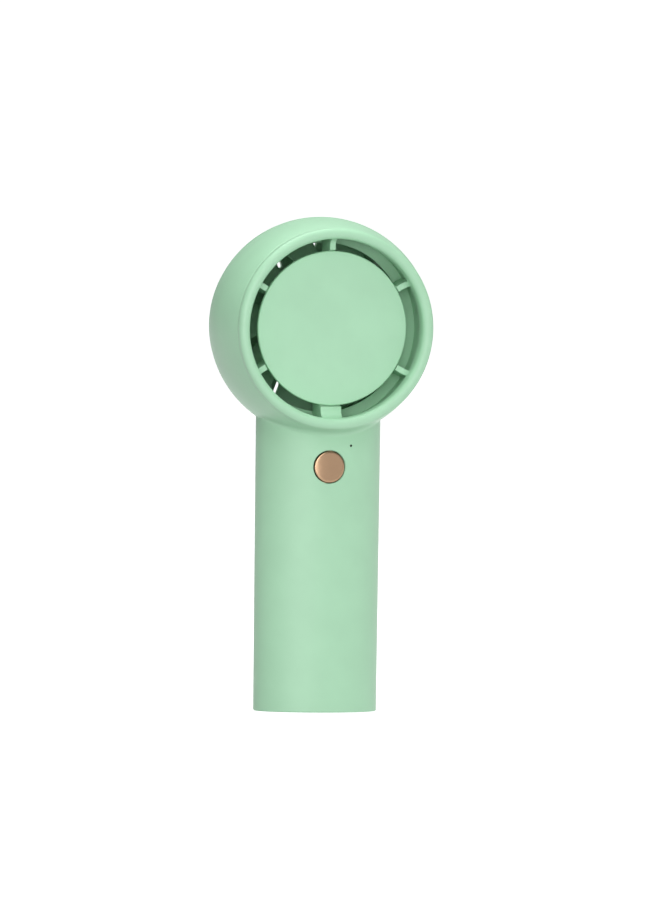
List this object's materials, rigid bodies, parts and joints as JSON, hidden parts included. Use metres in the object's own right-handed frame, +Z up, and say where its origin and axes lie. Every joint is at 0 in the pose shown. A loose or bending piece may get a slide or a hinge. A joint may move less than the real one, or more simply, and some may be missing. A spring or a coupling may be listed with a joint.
{
  "type": "handheld electric fan",
  "caption": "Pocket electric fan: round drum head with an annular outlet round a flat front disc, on a straight oval handle with one push button.",
  "frame": {"origin": "on the ground plane, under the middle of the handle's oval foot", "axes": "+Z up along the handle, -Y is the side the air leaves from, +X to the right seen from the front"},
  "size_m": [0.0736, 0.044, 0.1653],
  "materials": {
    "mint_shell": "satin moulded mint plastic",
    "gloss_mint": "glossy moulded mint plastic",
    "rose_gold": "polished rose-gold anodised metal",
    "steel": "plain turned steel",
    "bearing_steel": "ground bearing steel",
    "core_steel": "laminated core under dark varnish",
    "magnet": "dark bonded ferrite",
    "copper": "enamelled copper wire",
    "nickel": "plated nickel strip",
    "board": "green solder mask",
    "black_resin": "black moulded resin",
    "white_plastic": "white moulded plastic",
    "cell_wrap": "shrink-wrapped battery can",
    "clear_plastic": "clear moulded plastic",
    "red_lead": "red insulated wire",
    "black_lead": "black insulated wire",
    "white_lead": "white insulated wire"
  },
  "bodies": {
    "housing": {"main_housing": "mint_shell", "outlet_ring": "mint_shell", "front_disc": "mint_shell", "rear_cover": "mint_shell", "bottom_cap": "mint_shell", "motor_base": "white_plastic", "bearing_front": "bearing_steel", "bearing_rear": "bearing_steel", "stator_core": "core_steel", "inner_frame": "white_plastic", "battery_cell": "cell_wrap", "battery_tab_bottom": "nickel", "battery_tab_top": "nickel", "main_pcb": "board", "controller_chip": "black_resin", "charger_chip": "black_resin", "power_inductor": "magnet", "switch_body": "black_resin", "indicator_led": "white_plastic", "light_pipe": "clear_plastic", "usb_shell": "nickel", "usb_tongue": "black_resin", "motor_lead_1": "red_lead", "motor_lead_2": "black_lead", "motor_lead_3": "white_lead", "battery_lead_positive": "red_lead", "battery_lead_negative": "black_lead", "stator_coil_1": "copper", "stator_coil_2": "copper", "stator_coil_3": "copper", "stator_coil_4": "copper", "stator_coil_5": "copper", "stator_coil_6": "copper", "motor_screw_1": "steel", "motor_screw_2": "steel", "motor_screw_3": "steel", "cap_screw_1": "steel", "board_screw_1": "steel", "cap_screw_2": "steel", "board_screw_2": "steel"},
    "rotor": {"impeller": "gloss_mint", "impeller_nut": "gloss_mint", "rotor_can": "steel", "rotor_magnet_ring": "magnet", "motor_shaft": "steel", "shaft_clip": "steel"},
    "button": {"power_button": "rose_gold"},
    "plunger": {"switch_plunger": "white_plastic"}
  },
  "joints": [
    {"name": "impeller_spin", "type": "hinge", "parent": "housing", "child": "rotor", "pos_m": [0, 0, 0.1285], "axis": [0, 1, 0], "continuous": true},
    {"name": "power_button_press", "type": "slide", "parent": "housing", "child": "button", "axis": [0, 1, 0], "range_m": [0, 0.0004], "stiffness_N_per_m": 400},
    {"name": "switch_plunger_press", "type": "slide", "parent": "housing", "child": "plunger", "axis": [0, 1, 0], "range_m": [0, 0.00025]}
  ],
  "couplings": [
    {"joint": "switch_plunger_press", "follows": "power_button_press", "ratio": 0.6}
  ]
}
